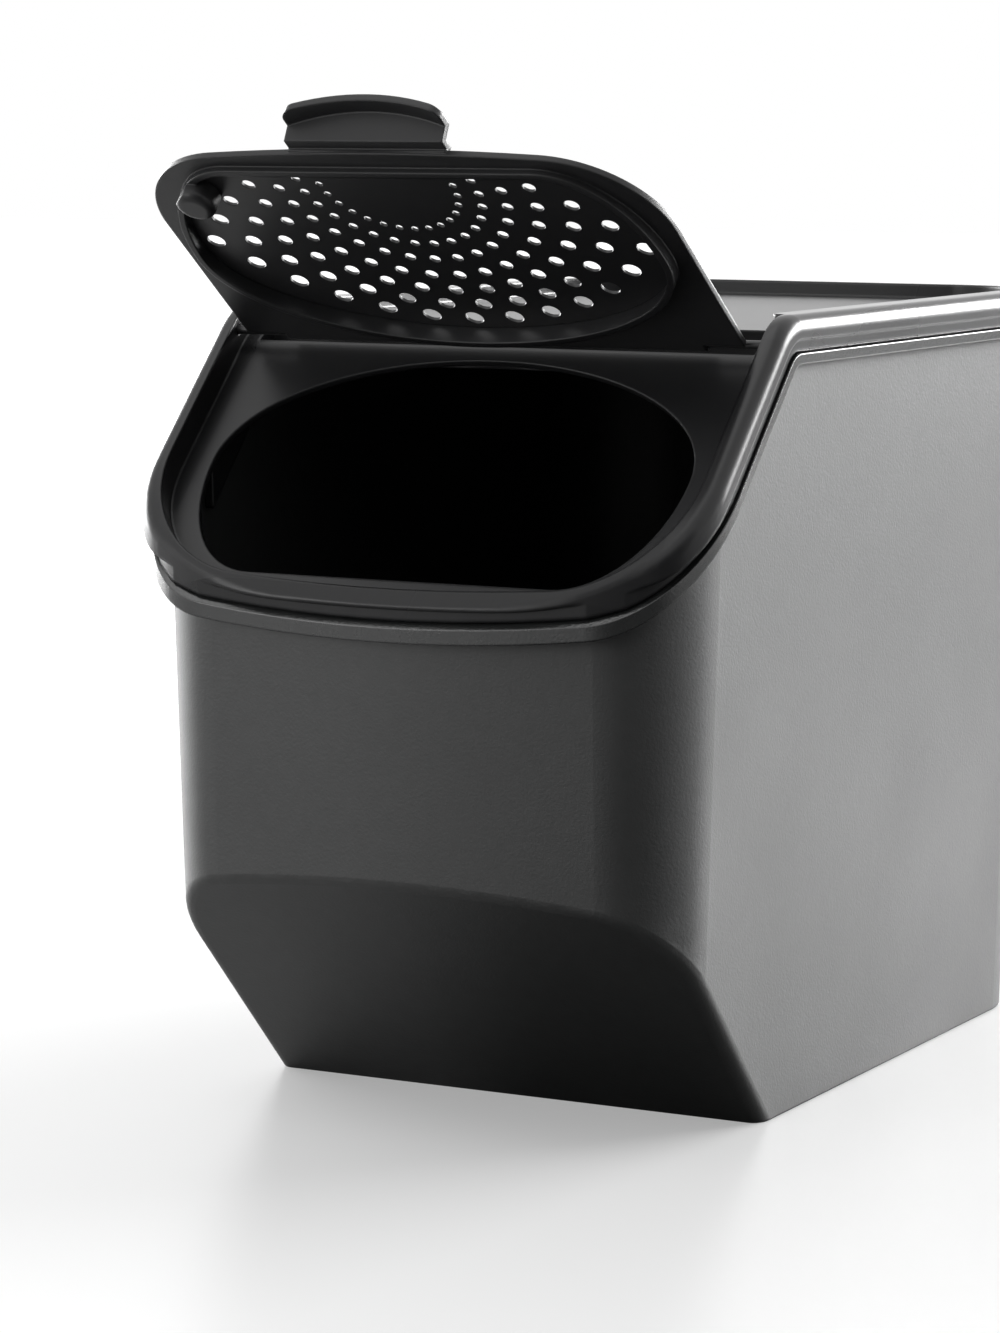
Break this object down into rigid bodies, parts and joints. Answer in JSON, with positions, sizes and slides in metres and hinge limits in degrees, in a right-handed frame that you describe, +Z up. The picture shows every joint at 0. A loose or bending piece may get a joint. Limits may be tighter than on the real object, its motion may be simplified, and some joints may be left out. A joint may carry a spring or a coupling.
{
  "type": "food storage bin",
  "caption": "Tall free-standing vegetable storage bin with a sloping front mouth, a lift-off lid that follows the slope, and a hinged, perforated vent flap with a finger tab.",
  "frame": {"origin": "middle of the flat underside, on the table", "axes": "+Z up, -Y towards the front with the sloping mouth, X across the width"},
  "size_m": [0.1594, 0.2724, 0.2554],
  "materials": {
    "bin_plastic": "dark anthracite, fine-grained satin",
    "lid_plastic": "near-black, semi-gloss",
    "pin_plastic": "dark grey, satin"
  },
  "bodies": {
    "bin": {"bin_body": "bin_plastic"},
    "lid": {"lid": "lid_plastic"},
    "flap": {"flap": "lid_plastic", "vent_panel": "lid_plastic", "hinge_pin_left": "pin_plastic", "hinge_pin_right": "pin_plastic"}
  },
  "joints": [
    {"name": "lid_lift", "type": "slide", "parent": "bin", "child": "lid", "axis": [0, 0, 1], "range_m": [0, 0.1]},
    {"name": "flap_hinge", "type": "hinge", "parent": "lid", "child": "flap", "pos_m": [0, -0.10295, 0.1955], "axis": [1, 0, 0], "range_deg": [-45, 81.6]}
  ]
}
